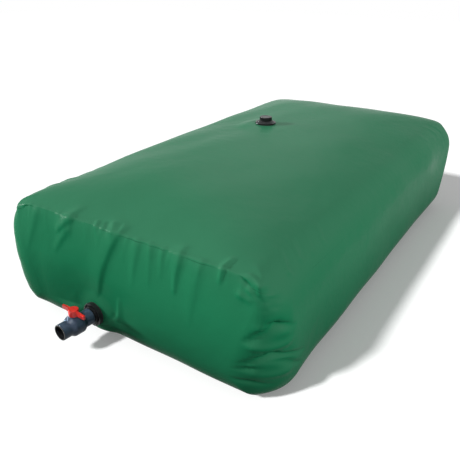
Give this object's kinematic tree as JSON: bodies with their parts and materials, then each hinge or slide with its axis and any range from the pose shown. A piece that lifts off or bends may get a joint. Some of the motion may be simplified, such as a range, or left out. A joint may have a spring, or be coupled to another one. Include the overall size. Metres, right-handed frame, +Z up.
{
  "type": "collapsible water tank",
  "caption": "Filled collapsible water tank: a long pillow-shaped coated-sheet bag with a quarter-turn ball valve low on its front end and a filler neck with a screw cap on top.",
  "frame": {"origin": "centre of the bag's flat base, on the floor", "axes": "+Z up, -Y towards the valve end, +X to the right seen from the valve end"},
  "size_m": [1.13, 2.1606, 0.5575],
  "materials": {
    "coated_sheet": "satin",
    "black_plastic": "matte",
    "grey_plastic": "satin",
    "red_plastic": "gloss",
    "seat_plastic": "satin",
    "seal_rubber": "matte"
  },
  "bodies": {
    "tank": {"bladder": "coated_sheet", "outlet_inner_gasket": "seal_rubber", "outlet_outer_gasket": "seal_rubber", "outlet_spigot": "black_plastic", "outlet_ring_nut": "black_plastic", "socket_gasket": "seal_rubber", "valve_body": "grey_plastic", "valve_rear_seat": "seat_plastic", "valve_front_seat": "seat_plastic", "seat_retainer": "black_plastic", "retainer_o_ring": "seal_rubber", "vent_inner_gasket": "seal_rubber", "vent_outer_gasket": "seal_rubber", "vent_spigot": "black_plastic", "vent_ring_nut": "black_plastic"},
    "handle": {"valve_ball": "black_plastic", "valve_stem": "grey_plastic", "stem_o_rings": "seal_rubber", "valve_handle": "red_plastic"},
    "cap_seal": {"vent_cap_gasket": "seal_rubber"},
    "cap": {"vent_cap": "black_plastic"}
  },
  "joints": [
    {"name": "handle_turn", "type": "hinge", "parent": "tank", "child": "handle", "pos_m": [-0.15384, -1.08966, 0.112], "axis": [0, 0, 1], "range_deg": [0, 90]},
    {"name": "cap_lift", "type": "slide", "parent": "tank", "child": "cap_seal", "axis": [0, 0, 1], "range_m": [0, 0.0121]},
    {"name": "cap_turn", "type": "hinge", "parent": "cap_seal", "child": "cap", "pos_m": [-0.16, 0.202, 0.526], "axis": [0, 0, 1], "range_deg": [0, 1440]}
  ],
  "couplings": [
    {"joint": "cap_lift", "follows": "cap_turn", "m_per_rad": 0.00047746}
  ]
}
